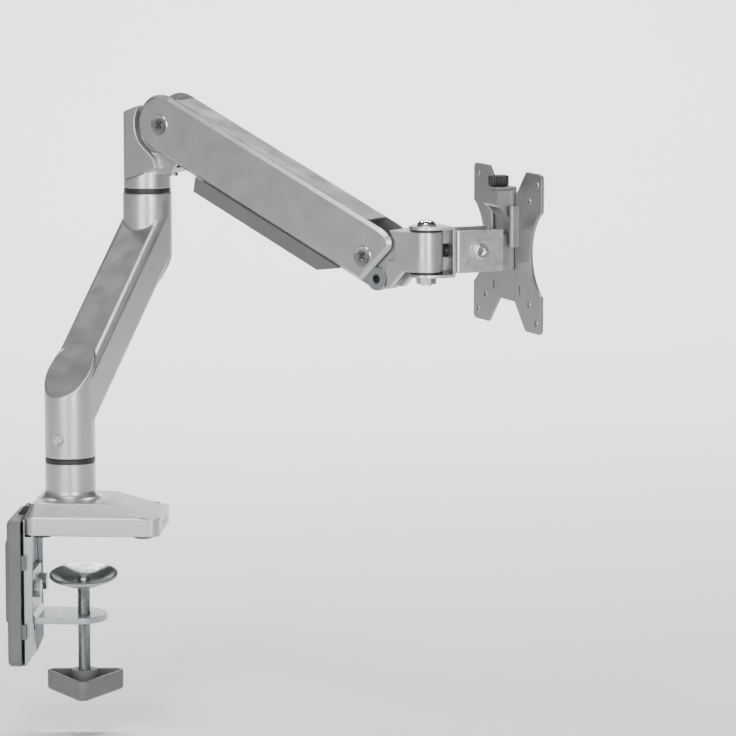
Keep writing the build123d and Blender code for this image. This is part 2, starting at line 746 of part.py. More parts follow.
with BuildPart() as gas_spring_tube:
    layers(SPRING, 4.25, CLEVIS_OUT, clevis)
    with BuildSketch(SPRING):
        with Locations(((CLEVIS_END + TUBE_START) / 2, 0)):
            Rectangle(TUBE_START - CLEVIS_END, 10)
    extrude(amount=CLEVIS_OUT, both=True)
    drum(SPRING_AXIS.offset(TUBE_START), TUBE_RADIUS, TUBE_END - TUBE_START)
    along = Axis(SPRING.origin, spring_dir)
    fillet(gas_spring_tube.edges().filter_by(GeomType.CIRCLE).sort_by(along)[-1], radius=1.5)
    bore_start = SPRING_AXIS.offset(TUBE_START + 4)
    bore_length = TUBE_END - TUBE_START - 12
    drum(bore_start, TUBE_RADIUS - TUBE_WALL, bore_length, mode=Mode.SUBTRACT)
    drum(SPRING_AXIS.offset(TUBE_END + 1), ROD_RADIUS + RUNNING_GAP, -14, mode=Mode.SUBTRACT)
save(gas_spring_tube, "gas_spring_tube")

with BuildPart() as gas_spring_rod:
    drum(SPRING_AXIS.offset(PISTON_START), TUBE_RADIUS - TUBE_WALL - RUNNING_GAP, 5)
    rod_start = PISTON_START + 4
    drum(SPRING_AXIS.offset(rod_start), ROD_RADIUS, SPRING_LENGTH - rod_start - 9.5)
    with BuildSketch(SPRING):
        disc_at((SPRING_LENGTH, 0), EYE_OUTER)
        with Locations((SPRING_LENGTH, 0)):
            Circle(EYE_BORE, mode=Mode.SUBTRACT)
    extrude(amount=4, both=True)
save(gas_spring_rod, "gas_spring_rod")

# ---------------------------------------------------------------- upper arm

FRONT_IN_PLATE = PLATE.to_local_coords(ARM.from_local_coords((FRONT_PIVOT[0], FRONT_PIVOT[1], 0)))
SPRING_IN_PLATE = PLATE.to_local_coords(ARM.from_local_coords((SPRING_FRONT[0], SPRING_FRONT[1], 0)))
FRONT_POINT = (FRONT_IN_PLATE.X, FRONT_IN_PLATE.Y)
SPRING_POINT = (SPRING_IN_PLATE.X, SPRING_IN_PLATE.Y)
PLATE_MIDDLE = (PLATE_LOW + PLATE_HIGH) / 2
PLATE_RADIUS = (PLATE_HIGH - PLATE_LOW) / 2


def side_plate():
    """Round at the back; at the front a rounded corner, then a cut that slants back."""
    with BuildLine() as border:
        Line((0, PLATE_LOW), (210, PLATE_LOW))
        Line((210, PLATE_LOW), (221.8, 10.5))
        Bezier((221.8, 10.5), (225.2, 20), (216, PLATE_HIGH), (206, PLATE_HIGH))
        Line((206, PLATE_HIGH), (0, PLATE_HIGH))
        ThreePointArc((0, PLATE_HIGH), (-PLATE_RADIUS, PLATE_MIDDLE), (0, PLATE_LOW))
    make_face(border.edges())


with BuildPart() as arm_housing:
    layers(PLATE, PLATE_IN, PLATE_OUT, side_plate)
    for outer in (
        arm_housing.faces().sort_by(Axis(PLATE.origin, PLATE.z_dir))[-1],
        arm_housing.faces().sort_by(Axis(PLATE.origin, PLATE.z_dir))[0],
    ):
        chamfer(outer.edges(), PLATE_BEVEL)
    # the top web joins the plates
    with BuildSketch(PLATE):
        outline((4, PLATE_HIGH - 3), (194, PLATE_HIGH - 3), (196, PLATE_HIGH), (4, PLATE_HIGH))
    extrude(amount=PLATE_IN, both=True)
    # pivot bores, the caps' counterbores and the spring pin's holes
    for pivot in ((0, 0), FRONT_POINT):
        layers(PLATE, 10, CAP_SEAT, lambda: disc_at(pivot, PIVOT_RADIUS), mode=Mode.SUBTRACT)
        layers(PLATE, CAP_SEAT, 16, lambda: disc_at(pivot, CAP_RADIUS), mode=Mode.SUBTRACT)
    layers(PLATE, 10, 13.5, lambda: disc_at(SPRING_POINT, FRONT_PIN_RADIUS), mode=Mode.SUBTRACT)
save(arm_housing, "arm_housing")


def pivot_pin(point, name):
    with BuildPart() as pin:
        layers(PLATE, 0, CAP_SEAT, lambda: disc_at(point, PIVOT_RADIUS))
    save(pin, name)


pivot_pin((0, 0), "rear_pivot_pin")
pivot_pin(FRONT_POINT, "front_pivot_pin")

with BuildPart() as pivot_caps:
    for pivot in ((0, 0), FRONT_POINT):
        layers(PLATE, CAP_SEAT, CAP_FACE, lambda: disc_at(pivot, CAP_RADIUS))
    for side in (1, -1):
        for pivot in ((0, 0), FRONT_POINT):
            with BuildSketch(PLATE.offset(side * CAP_FACE)):
                with Locations(pivot):
                    Rectangle(6, 1.4)
                    Rectangle(1.4, 6)
            extrude(amount=-side * 0.8, mode=Mode.SUBTRACT)
save(pivot_caps, "pivot_caps")

with BuildPart() as spring_front_pin:
    layers(PLATE, 0, 13.5, lambda: disc_at(SPRING_POINT, FRONT_PIN_RADIUS))
save(spring_front_pin, "spring_front_pin")


def link_channel():
    outline((40, CHANNEL_FLOOR), (195, CHANNEL_FLOOR), (195, -20), (40, -20))


with BuildPart() as arm_under_cover:
    with BuildSketch(PLATE):
        outline((45, PLATE_LOW), (48, COVER_LOW), (172, COVER_LOW), (190, PLATE_LOW))
    extrude(amount=14, both=True)
    # open on top; the links run along channels inside the walls
    with BuildSketch(PLATE):
        outline((40, -24), (195, -24), (195, -10), (40, -10))
    extrude(amount=PLATE_IN, both=True, mode=Mode.SUBTRACT)
    layers(PLATE, CHANNEL_IN, PLATE_IN, link_channel, mode=Mode.SUBTRACT)
    with BuildSketch(PLATE):
        outline((49, -22), (52, CHANNEL_FLOOR), (170, CHANNEL_FLOOR), (181, -22))
    extrude(amount=CHANNEL_IN + 0.1, both=True, mode=Mode.SUBTRACT)
save(arm_under_cover, "arm_under_cover")

link_dx = FRONT_LINK[0] - REAR_LINK[0]
link_dy = FRONT_LINK[1] - REAR_LINK[1]
LINK_LENGTH = sqrt(link_dx**2 + link_dy**2)
LINK = Plane(
    origin=ARM.from_local_coords((REAR_LINK[0], REAR_LINK[1], 0)),
    x_dir=ARM.x_dir * (link_dx / LINK_LENGTH) + ARM.y_dir * (link_dy / LINK_LENGTH),
    z_dir=ARM.z_dir,
)


def link_bar():
    disc_at((0, 0), 8.5)
    disc_at((LINK_LENGTH, 0), 8.5)
    with Locations((LINK_LENGTH / 2, -4.5)):
        Rectangle(LINK_LENGTH, 6)
    with Locations((0, 0), (LINK_LENGTH, 0)):
        Circle(LINK_PIN_RADIUS + RUNNING_GAP, mode=Mode.SUBTRACT)


with BuildPart() as lower_links:
    layers(LINK, LINK_IN, LINK_OUT, link_bar)
save(lower_links, "lower_links")

# ---------------------------------------------------------------- front knuckle

SWIVEL_AXIS = Plane((SWIVEL_X, SWIVEL_Y, HEAD_Z))
HUB_LOW = HEAD_Z - HUB_HALF
HUB_HIGH = HEAD_Z + HUB_HALF


def knuckle_body():
    outline(
        (SWIVEL_AHEAD, HUB_LOW),
        (241.3, HUB_LOW),
        (229, 184),
        (222, 184),
        (222, HUB_HIGH),
        (SWIVEL_AHEAD, HUB_HIGH),
    )


def knuckle_hollow():
    outline((212, 180), (233, 180), (243, 197), (240, 203), (231, 203), (226, 199), (212, 199))


def front_tongue():
    disc_at(FRONT_PIVOT, 10.5)
    disc_at(FRONT_LINK, 8.8)
    disc_at((238, 215), 8)
    disc_at((238, 206), 8)
    make_hull()


def front_recess():
    """Room for the side plates' corners and the links' ends."""
    disc_at(FRONT_PIVOT, 20.6)
    disc_at(FRONT_LINK, 9.3)
    x, z = FRONT_PIVOT
    outline((x, z - 2), (x + 26.6, z - 2), (x + 26.6, z + 12), (x + 20, z + 22), (x, z + 22))


with BuildPart() as front_knuckle:
    with BuildSketch(ARM):
        knuckle_body()
    extrude(amount=HUB_RADIUS, both=True)
    layers(ARM, 0, HUB_RADIUS + 1, front_recess, mode=Mode.SUBTRACT)
    drum(SWIVEL_AXIS.offset(-HUB_HALF), HUB_RADIUS, 2 * HUB_HALF)
    layers(ARM, 0, TONGUE_HALF, front_tongue)
    layers(ARM, 0, SLOT_HALF, knuckle_hollow, mode=Mode.SUBTRACT)
    drum(SWIVEL_AXIS.offset(-HUB_HALF), SWIVEL_BOLT_RADIUS + RUNNING_GAP, 2 * HUB_HALF, mode=Mode.SUBTRACT)
    layers(ARM, 0, 12, lambda: disc_at(FRONT_PIVOT, PIVOT_RADIUS + RUNNING_GAP), mode=Mode.SUBTRACT)
    layers(ARM, SLOT_HALF, 12, lambda: disc_at(FRONT_LINK, LINK_PIN_RADIUS), mode=Mode.SUBTRACT)
save(front_knuckle, "front_knuckle")

link_pins(FRONT_LINK, "link_pins_front")

with BuildPart() as knuckle_washers:
    for washer_low in (-HUB_HALF - KNUCKLE_WASHER, HUB_HALF):
        drum(SWIVEL_AXIS.offset(washer_low), HUB_RADIUS, KNUCKLE_WASHER)
    drum(SWIVEL_AXIS.offset(-20), SWIVEL_BOLT_RADIUS + RUNNING_GAP, 40, mode=Mode.SUBTRACT)
save(knuckle_washers, "knuckle_washers")

# ---------------------------------------------------------------- head


def flange_plan():
    Circle(12.5)
    with Locations((12, 0)):
        Rectangle(10.4, 28)
    make_hull()


with BuildPart() as swivel_bracket:
    for flange_low in (FLANGE_IN, -FLANGE_OUT):
        with BuildSketch(HEAD_LEVEL.offset(flange_low)):
            flange_plan()
        extrude(amount=HEAD_STEEL)
    with BuildSketch(HEAD_LEVEL.offset(-FLANGE_OUT)):
        with Locations((SWIVEL_WEB + HEAD_STEEL / 2, 0)):
            Rectangle(HEAD_STEEL, 28)
    extrude(amount=2 * FLANGE_OUT)
    web_front = Axis(HEAD.origin, HEAD.x_dir)
    ends = swivel_bracket.faces().sort_by(web_front)[-1].edges().filter_by(Axis(HEAD.origin, HEAD.z_dir))
    fillet(ends, radius=2.1)
    drum(SWIVEL_AXIS.offset(-20), SWIVEL_BOLT_RADIUS, 40, mode=Mode.SUBTRACT)
    drum(FACING.offset(10), ROTATION_BOLT_RADIUS, 10, mode=Mode.SUBTRACT)
save(swivel_bracket, "swivel_bracket")

with BuildPart() as swivel_bolt:
    drum(SWIVEL_AXIS.offset(-24.6), SWIVEL_BOLT_RADIUS, 43.5)
    with BuildSketch(HEAD):
        with BuildLine():
            Polyline((0, FLANGE_OUT), (7.5, FLANGE_OUT))
            RadiusArc((7.5, FLANGE_OUT), (3.5, FLANGE_OUT + 4.2), -6)
            Polyline((3.5, FLANGE_OUT + 4.2), (0, FLANGE_OUT + 4.2), (0, FLANGE_OUT))
        make_face()
    revolve(axis=Axis(HEAD.origin, (0, 0, 1)))
    with BuildSketch(SWIVEL_AXIS.offset(FLANGE_OUT + 4.2)):
        RegularPolygon(2.5, 6)
    extrude(amount=-2.6, mode=Mode.SUBTRACT)
save(swivel_bolt, "swivel_bolt")

with BuildPart() as swivel_nut:
    with BuildSketch(SWIVEL_AXIS.offset(-FLANGE_OUT)):
        RegularPolygon(7.2, 6)
        Circle(SWIVEL_BOLT_RADIUS, mode=Mode.SUBTRACT)
    extrude(amount=-5.2)
save(swivel_nut, "swivel_nut")

with BuildPart() as rotation_bolt:
    drum(FACING.offset(12.7), 5, 2.3)
    drum(FACING.offset(14), ROTATION_BOLT_RADIUS, 10.2)
    with BuildSketch(FACING.offset(12.7)):
        RegularPolygon(2, 6)
    extrude(amount=1.6, mode=Mode.SUBTRACT)
save(rotation_bolt, "rotation_bolt")

with BuildPart() as rotation_nut:
    with BuildSketch(FACING.offset(TILT_WEB + HEAD_STEEL + 0.2)):
        RegularPolygon(5.2, 6)
        Circle(ROTATION_BOLT_RADIUS, mode=Mode.SUBTRACT)
    extrude(amount=3.6)
save(rotation_nut, "rotation_nut")


def tilt_ear():
    with Locations(((TILT_WEB + EAR_END) / 2, 0)):
        Rectangle(EAR_END - TILT_WEB, 2 * EAR_HALF)
    with Locations(TILT_POINT):
        Circle(TILT_BOLT_RADIUS, mode=Mode.SUBTRACT)


with BuildPart() as tilt_bracket:
    layers(HEAD, EAR_OUT - HEAD_STEEL, EAR_OUT, tilt_ear)
    with BuildSketch(FACING.offset(TILT_WEB)):
        Rectangle(2 * EAR_OUT, 2 * EAR_HALF)
        Circle(ROTATION_BOLT_RADIUS + RUNNING_GAP, mode=Mode.SUBTRACT)
    extrude(amount=HEAD_STEEL)
    bends = tilt_bracket.faces().sort_by(web_front)[0].edges().filter_by(Axis.Z)
    fillet(bends, radius=2.1)
save(tilt_bracket, "tilt_bracket")

with BuildPart() as tilt_washers:
    layers(HEAD, EAR_OUT, WASHER_OUT, lambda: disc_at(TILT_POINT, 8.15))
    layers(HEAD, 14, 18, lambda: disc_at(TILT_POINT, TILT_BOLT_RADIUS), mode=Mode.SUBTRACT)
save(tilt_washers, "tilt_washers")

with BuildPart() as tilt_bolt:
    with BuildSketch(HEAD.offset(-22)):
        disc_at(TILT_POINT, TILT_BOLT_RADIUS)
    extrude(amount=39)
    with BuildSketch(HEAD.offset(WASHER_OUT)):
        disc_at(TILT_POINT, 5.6)
    extrude(amount=TILT_HEAD_HEIGHT)
    fillet(tilt_bolt.edges().sort_by(Axis(HEAD.origin, HEAD.z_dir))[-1], radius=1.2)
    with BuildSketch(HEAD.offset(WASHER_OUT + TILT_HEAD_HEIGHT)):
        with Locations(TILT_POINT):
            RegularPolygon(2.9, 6)
    extrude(amount=-2.4, mode=Mode.SUBTRACT)
save(tilt_bolt, "tilt_bolt")

with BuildPart() as tilt_nut:
    with BuildSketch(HEAD.offset(-WASHER_OUT)):
        with Locations(TILT_POINT):
            RegularPolygon(7.2, 6)
            Circle(TILT_BOLT_RADIUS, mode=Mode.SUBTRACT)
    extrude(amount=-5)
save(tilt_nut, "tilt_nut")


def receiver_ear():
    disc_at(TILT_POINT, 11)
    with Locations(((TILT_AHEAD + RECEIVER_BACK) / 2, 0)):
        Rectangle(RECEIVER_BACK - TILT_AHEAD, 22)
    with Locations(TILT_POINT):
        Circle(TILT_BOLT_RADIUS + RUNNING_GAP, mode=Mode.SUBTRACT)


def receiver_hood():
    """The hood's side, with its curved underside."""
    with BuildLine() as border:
        Polyline(
            (RECEIVER_BACK, 22),
            (RECEIVER_BACK, RECEIVER_TOP),
            (HOOD_FRONT, RECEIVER_TOP),
            (HOOD_FRONT, 32),
        )
        ThreePointArc((HOOD_FRONT, 32), (55.5, 27.5), (RECEIVER_BACK, 22))
    make_face(border.edges())


STUD_AXIS = Plane(HEAD.from_local_coords((KNOB_AHEAD, 30, 0)))

with BuildPart() as receiver_bracket:
    layers(HEAD, RECEIVER_EAR - HEAD_STEEL, RECEIVER_EAR, receiver_ear)
    with BuildSketch(HEAD):
        outline(
            (RECEIVER_BACK, -15),
            (RECEIVER_BACK + PLATE_THICK, -15),
            (RECEIVER_BACK + PLATE_THICK, RECEIVER_TOP),
            (RECEIVER_BACK, RECEIVER_TOP),
        )
    extrude(amount=RECEIVER_HALF, both=True)
    with BuildSketch(HEAD):
        receiver_hood()
    extrude(amount=RECEIVER_EAR, both=True)
    with BuildSketch(HEAD):
        outline((52.5, 20), (RECEIVER_BACK, 20), (RECEIVER_BACK, 41), (52.5, 41))
    extrude(amount=RECEIVER_EAR - 2, both=True, mode=Mode.SUBTRACT)
    drum(STUD_AXIS, STUD_RADIUS + 0.1, 20, mode=Mode.SUBTRACT)
save(receiver_bracket, "receiver_bracket")

with BuildPart() as tilt_spacer:
    layers(HEAD, 0, RECEIVER_EAR - 2.3, lambda: disc_at(TILT_POINT, 7))
    bore = TILT_BOLT_RADIUS + RUNNING_GAP
    layers(HEAD, 0, RECEIVER_EAR, lambda: disc_at(TILT_POINT, bore), mode=Mode.SUBTRACT)
save(tilt_spacer, "tilt_spacer")


def plate_face():
    """An X of four arms: notches at top and bottom, curved waists at the sides."""
    RectangleRounded(2 * PLATE_HALF, 2 * PLATE_HALF, 4)
    edge = PLATE_HALF + 1
    root = PLATE_HALF - 19.5
    for sign in (1, -1):
        with BuildLine() as notch:
            Polyline(
                (-33, sign * edge),
                (-13.5, sign * root),
                (13.5, sign * root),
                (33, sign * edge),
                close=True,
            )
        make_face(notch.edges(), mode=Mode.SUBTRACT)
        with Locations((sign * 73.5, 0)):
            Circle(34, mode=Mode.SUBTRACT)
    with GridLocations(100, 100, 2, 2):
        Circle(2.75, mode=Mode.SUBTRACT)
    with GridLocations(75, 75, 2, 2):
        Circle(2.75, mode=Mode.SUBTRACT)
    with GridLocations(44, 58, 2, 2):
        SlotOverall(7, 2.4, rotation=90, mode=Mode.SUBTRACT)


with BuildPart() as vesa_plate:
    with BuildSketch(FACING.offset(PLATE_BACK)):
        plate_face()
    extrude(amount=PLATE_THICK)
    # rolled guide rails either side of the receiver
    for side in (1, -1):
        with BuildSketch(HEAD_LEVEL.offset(2)):
            with Locations((PLATE_BACK, side * (RAIL_IN + RAIL_WIDE / 2))):
                SlotOverall(12, RAIL_WIDE)
            with Locations((PLATE_BACK + 10, 0)):
                Rectangle(19.6, 60, mode=Mode.SUBTRACT)
        extrude(amount=30)
    # the top tab takes the thumb knob's stud, on a tongue in the top notch
    with BuildSketch(FACING.offset(PLATE_BACK)):
        with Locations((0, TAB_LOW - 2)):
            Rectangle(23, 8)
    extrude(amount=PLATE_THICK)
    with BuildSketch(HEAD):
        outline(
            (HOOD_FRONT, TAB_LOW),
            (PLATE_BACK, TAB_LOW),
            (PLATE_BACK, TAB_LOW + TAB_THICK),
            (HOOD_FRONT, TAB_LOW + TAB_THICK),
        )
    extrude(amount=11.5, both=True)
    drum(STUD_AXIS, STUD_RADIUS + RUNNING_GAP, 20, mode=Mode.SUBTRACT)
save(vesa_plate, "vesa_plate")

with BuildPart() as thumb_knob:
    knob_foot = Plane(HEAD.from_local_coords((KNOB_AHEAD, TAB_LOW + TAB_THICK + 0.2, 0)))
    drum(knob_foot, 7.5, 7.4)
    fillet(thumb_knob.edges().group_by(Axis.Z)[-1], radius=1)
    drum(knob_foot, STUD_RADIUS, -STUD_LENGTH)
save(thumb_knob, "thumb_knob")
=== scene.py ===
import json
from math import cos, pi, radians, sin

import bmesh
import bpy
from mathutils import Matrix, Vector
from mathutils.bvhtree import BVHTree

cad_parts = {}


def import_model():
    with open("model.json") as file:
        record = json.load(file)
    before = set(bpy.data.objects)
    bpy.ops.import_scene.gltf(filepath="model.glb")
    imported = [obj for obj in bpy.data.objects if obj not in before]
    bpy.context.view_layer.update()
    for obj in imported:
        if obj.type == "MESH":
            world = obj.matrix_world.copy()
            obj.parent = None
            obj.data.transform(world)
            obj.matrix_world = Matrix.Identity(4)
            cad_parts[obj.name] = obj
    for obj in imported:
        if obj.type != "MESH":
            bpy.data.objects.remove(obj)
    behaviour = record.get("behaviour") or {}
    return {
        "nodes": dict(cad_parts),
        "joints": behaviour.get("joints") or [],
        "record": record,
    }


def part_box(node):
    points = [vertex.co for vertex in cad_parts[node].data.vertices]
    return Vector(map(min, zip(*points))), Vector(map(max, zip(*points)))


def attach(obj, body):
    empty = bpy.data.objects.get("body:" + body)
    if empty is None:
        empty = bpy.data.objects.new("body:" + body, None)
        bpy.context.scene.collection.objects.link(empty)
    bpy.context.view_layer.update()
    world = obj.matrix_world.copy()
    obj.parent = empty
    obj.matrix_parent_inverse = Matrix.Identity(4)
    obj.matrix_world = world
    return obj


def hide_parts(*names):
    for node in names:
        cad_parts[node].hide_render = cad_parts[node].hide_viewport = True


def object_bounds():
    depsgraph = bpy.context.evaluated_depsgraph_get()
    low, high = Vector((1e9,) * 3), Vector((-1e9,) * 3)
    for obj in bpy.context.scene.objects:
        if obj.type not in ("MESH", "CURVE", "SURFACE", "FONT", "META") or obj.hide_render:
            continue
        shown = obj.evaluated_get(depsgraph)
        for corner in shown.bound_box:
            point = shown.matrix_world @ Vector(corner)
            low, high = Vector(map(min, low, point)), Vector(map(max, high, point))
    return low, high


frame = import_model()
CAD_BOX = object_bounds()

MM = 0.001
NODES = frame["nodes"]
JOINTS = {joint["name"]: joint for joint in frame["joints"]}
BODIES = {
    node: body
    for body, members in frame["record"]["behaviour"]["bodies"].items()
    for node in members
}
SLOTS = {part["node"]: part["material_slot"] for part in frame["record"]["subparts"]}
LIFT_AXIS = Vector(JOINTS["arm_lift"]["axis"])
HEAD_FORWARD = Vector(JOINTS["head_rotate"]["axis"])
HEAD_CENTRE = Vector(JOINTS["head_pan"]["pos_m"])
RAIL_START = 63 * MM
CAP_FACE = 15.3 * MM
CAP_SEAT = 14.2 * MM
SCREW_NECK = 3.1 * MM
SCREW_PITCH = 1.5 * MM
KNOB_TALL = 7.4 * MM
KNOB_RIBS = 22
STUD_RADIUS = 2.5 * MM
FLOOR_DROP = 30 * MM
FLOOR_HALF = 8
WALL_HALF = 1.6
WALL_START = 2.2
COVE = 0.6


def joint_frame(name, forward=None, origin=None):
    """Axes at a joint: Z along the joint's axis, X along forward where it is given."""
    z = Vector(JOINTS[name]["axis"]).normalized()
    hint = Vector(forward or (1, 0, 0))
    if abs(z.dot(hint)) > 0.99:
        hint = Vector((0, 1, 0))
    x = (hint - z * z.dot(hint)).normalized()
    y = z.cross(x)
    turn = Matrix((x, y, z)).transposed().to_4x4()
    place = Vector(origin or JOINTS[name]["pos_m"])
    return Matrix.Translation(place) @ turn


# ---------------------------------------------------------------- materials


class Shader:
    """A principled material whose textures follow the object's own coordinates."""

    def __init__(self, name, **sockets):
        self.material = bpy.data.materials.new(name)
        self.material.use_nodes = True
        self.tree = self.material.node_tree
        self.bsdf = self.tree.nodes["Principled BSDF"]
        self.coords = self.add("ShaderNodeTexCoord").outputs["Object"]
        for socket, value in sockets.items():
            self.bsdf.inputs[socket.replace("_", " ")].default_value = value

    def add(self, kind, **settings):
        node = self.tree.nodes.new(kind)
        for key, value in settings.items():
            setattr(node, key, value)
        return node

    def link(self, output, socket):
        self.tree.links.new(output, socket)

    def noise(self, scale, detail=2.0, stretch=(1, 1, 1)):
        """Noise with scale blobs per metre, stretched along the axes."""
        mapping = self.add("ShaderNodeMapping")
        mapping.inputs["Scale"].default_value = stretch
        self.link(self.coords, mapping.inputs["Vector"])
        texture = self.add("ShaderNodeTexNoise")
        texture.inputs["Scale"].default_value = scale
        texture.inputs["Detail"].default_value = detail
        self.link(mapping.outputs["Vector"], texture.inputs["Vector"])
        return texture.outputs["Fac"]

    def spread(self, fac, low, high, start=0.35, end=0.65):
        """Noise mapped to a number from low to high."""
        span = self.add("ShaderNodeMapRange")
        span.inputs["From Min"].default_value = start
        span.inputs["From Max"].default_value = end
        span.inputs["To Min"].default_value = low
        span.inputs["To Max"].default_value = high
        self.link(fac, span.inputs["Value"])
        return span.outputs["Result"]

    def tint(self, fac, one, two, start=0.35, end=0.65):
        """Noise mapped to a colour from one to two."""
        ramp = self.add("ShaderNodeValToRGB")
        ramp.color_ramp.elements[0].position = start
        ramp.color_ramp.elements[1].position = end
        ramp.color_ramp.elements[0].color = (*one, 1)
        ramp.color_ramp.elements[1].color = (*two, 1)
        self.link(fac, ramp.inputs["Fac"])
        return ramp.outputs["Color"]

    def mix(self, fac, one, two):
        node = self.add("ShaderNodeMix", data_type="RGBA")
        self.link(fac, node.inputs["Factor"])
        self.link(one, node.inputs["A"])
        self.link(two, node.inputs["B"])
        return node.outputs["Result"]

    def colour(self, output):
        self.link(output, self.bsdf.inputs["Base Color"])

    def rough(self, output):
        self.link(output, self.bsdf.inputs["Roughness"])

    def bumps(self, *layers):
        """Stacks (height output, depth in millimetres) into one bump."""
        below = None
        for height, depth in layers:
            bump = self.add("ShaderNodeBump")
            bump.inputs["Distance"].default_value = depth * MM
            self.link(height, bump.inputs["Height"])
            if below:
                self.link(below, bump.inputs["Normal"])
            below = bump.outputs["Normal"]
        self.link(below, self.bsdf.inputs["Normal"])


def scaled(colour, factor):
    return tuple(part * factor for part in colour)


def paint(name, colour, roughness, metallic=0.0, spread=0.08):
    """Powder-fine metallic paint over a casting: flakes, faint cloudiness, orange peel."""
    shader = Shader(name, Metallic=metallic, Coat_Weight=0.12, Coat_Roughness=0.35)
    flakes = shader.tint(
        shader.noise(2600, 1), scaled(colour, 1 - spread), scaled(colour, 1 + spread)
    )
    clouds = shader.tint(
        shader.noise(26, 3), scaled(colour, 1 - spread / 3), scaled(colour, 1 + spread / 3)
    )
    shader.colour(shader.mix(shader.noise(14, 2), flakes, clouds))
    shader.rough(shader.spread(shader.noise(60, 4), roughness - 0.04, roughness + 0.05))
    shader.bumps((shader.noise(650, 2), 0.012), (shader.noise(2400, 1), 0.006))
    return shader.material


def plastic(name, colour, roughness, grain=0.03):
    """Spark-textured moulded plastic."""
    shader = Shader(name, Specular_IOR_Level=0.45)
    shader.colour(
        shader.tint(shader.noise(40, 4), scaled(colour, 0.92), scaled(colour, 1.08))
    )
    shader.rough(shader.spread(shader.noise(220, 3), roughness - 0.06, roughness + 0.06))
    shader.bumps((shader.noise(1500, 2), grain), (shader.noise(420, 2), grain / 2))
    return shader.material


def plated(name, warm, cool, roughness, stretch=(1, 1, 1), scratch=0.004):
    """Zinc plate over pressed steel: patchy tint, fine rolling marks and handling wear."""
    shader = Shader(name, Metallic=1.0)
    patches = shader.tint(shader.noise(70, 5), warm, cool, 0.38, 0.62)
    crystals = shader.tint(shader.noise(900, 2), scaled(warm, 0.93), scaled(cool, 1.04))
    shader.colour(shader.mix(shader.noise(160, 3), patches, crystals))
    shader.rough(
        shader.spread(shader.noise(240, 5), roughness - 0.05, roughness + 0.06)
    )
    shader.bumps((shader.noise(500, 4, stretch), scratch))
    return shader.material


def chrome(name, spun=False):
    """Polished plate. A spun face keeps fine turning marks round its own Z axis."""
    shader = Shader(name, Metallic=1.0)
    shade = 0.62 if spun else 1
    light, dark = (0.8, 0.81, 0.82), (0.7, 0.71, 0.73)
    shader.colour(shader.tint(shader.noise(120, 3), scaled(dark, shade), scaled(light, shade)))
    shader.rough(shader.spread(shader.noise(300, 4), 0.12, 0.2))
    if spun:
        shader.bsdf.inputs["Anisotropic"].default_value = 0.85
        tangent = shader.add("ShaderNodeTangent", direction_type="RADIAL", axis="Z")
        shader.link(tangent.outputs["Tangent"], shader.bsdf.inputs["Tangent"])
    shader.bumps((shader.noise(900, 2), 0.002))
    return shader.material


SILVER = (0.5, 0.5, 0.503)
STEEL_ACROSS = (1, 1, 14)
MATERIALS = {
    "silver_paint": paint("silver_paint_look", SILVER, 0.34, metallic=0.85),
    "grey_plastic": plastic("grey_plastic_look", (0.115, 0.116, 0.118), 0.48),
    "zinc_steel": plated("zinc_steel_look", (0.4, 0.42, 0.415), (0.375, 0.415, 0.425), 0.33),
    "head_steel": plated(
        "head_steel_look", (0.56, 0.57, 0.575), (0.54, 0.555, 0.565), 0.34, STEEL_ACROSS
    ),
    "satin_plate": paint("satin_plate_look", (0.27, 0.273, 0.277), 0.36, metallic=0.8),
    "chrome": chrome("chrome_look"),
    "black_nylon": plastic("black_nylon_look", (0.014, 0.014, 0.015), 0.42, 0.012),
    "black_rubber": plastic("black_rubber_look", (0.018, 0.018, 0.018), 0.75, 0.03),
    "black_steel": paint("black_steel_look", (0.03, 0.03, 0.032), 0.35, metallic=0.6),
    "brass": plated("brass_look", (0.62, 0.44, 0.18), (0.7, 0.52, 0.25), 0.3),
    "spring_paint": paint("spring_paint_look", (0.018, 0.018, 0.02), 0.22, spread=0.04),
}
# Pale near-white paint for the arm's chamfer faces: a painted highlight along the side plates'
# edges.
CHAMFER_HIGHLIGHT = paint("chamfer_painted_highlight_look", (0.78, 0.78, 0.785), 0.3, metallic=0.9, spread=0.03)
SPUN_CHROME = chrome("spun_chrome_look", spun=True)

for node, part in NODES.items():
    part.data.materials.clear()
    part.data.materials.append(MATERIALS[SLOTS[node]])


# ---------------------------------------------------------------- pieces


def finish_piece(name, mesh, node, material=None, replace=True, place=None, slot=None):
    """Makes the mesh an object that rides with the node's body and wears a slot."""
    piece = bpy.data.objects.new(name, mesh)
    bpy.context.scene.collection.objects.link(piece)
    slot = slot or SLOTS[node]
    if not mesh.materials:
        mesh.materials.append(material or MATERIALS[slot])
    if place is not None:
        piece.matrix_world = place
    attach(piece, BODIES[node])
    if replace:
        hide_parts(node)
    return piece


def mesh_from(bm, name, smooth=True, sharp=32):
    """Writes a bmesh out with smooth faces and edges sharp past an angle."""
    bmesh.ops.recalc_face_normals(bm, faces=bm.faces)
    for face in bm.faces:
        face.smooth = smooth
    for edge in bm.edges:
        if len(edge.link_faces) == 2 and edge.calc_face_angle() > radians(sharp):
            edge.smooth = False
    mesh = bpy.data.meshes.new(name)
    bm.to_mesh(mesh)
    bm.free()
    return mesh


def hold_to_shape(bm, source, reach):
    """Puts back on the source's surface any vertex that a bevel threw clear of it."""
    skin = BVHTree.FromPolygons(
        [v.co for v in source.vertices], [p.vertices for p in source.polygons]
    )
    for vertex in bm.verts:
        spot, _, _, distance = skin.find_nearest(vertex.co)
        if distance > reach * 0.8:
            vertex.co = spot


def on_chamfer(centre, normal):
    """The chamfer faces along the side plates' outer edges, which wear the painted highlight."""
    return 0.5 < abs(normal.dot(LIFT_AXIS)) < 0.86


def on_rail(centre, normal):
    """The guide rails that stand off the screen plate's back."""
    return (centre - HEAD_CENTRE).dot(HEAD_FORWARD) < RAIL_START


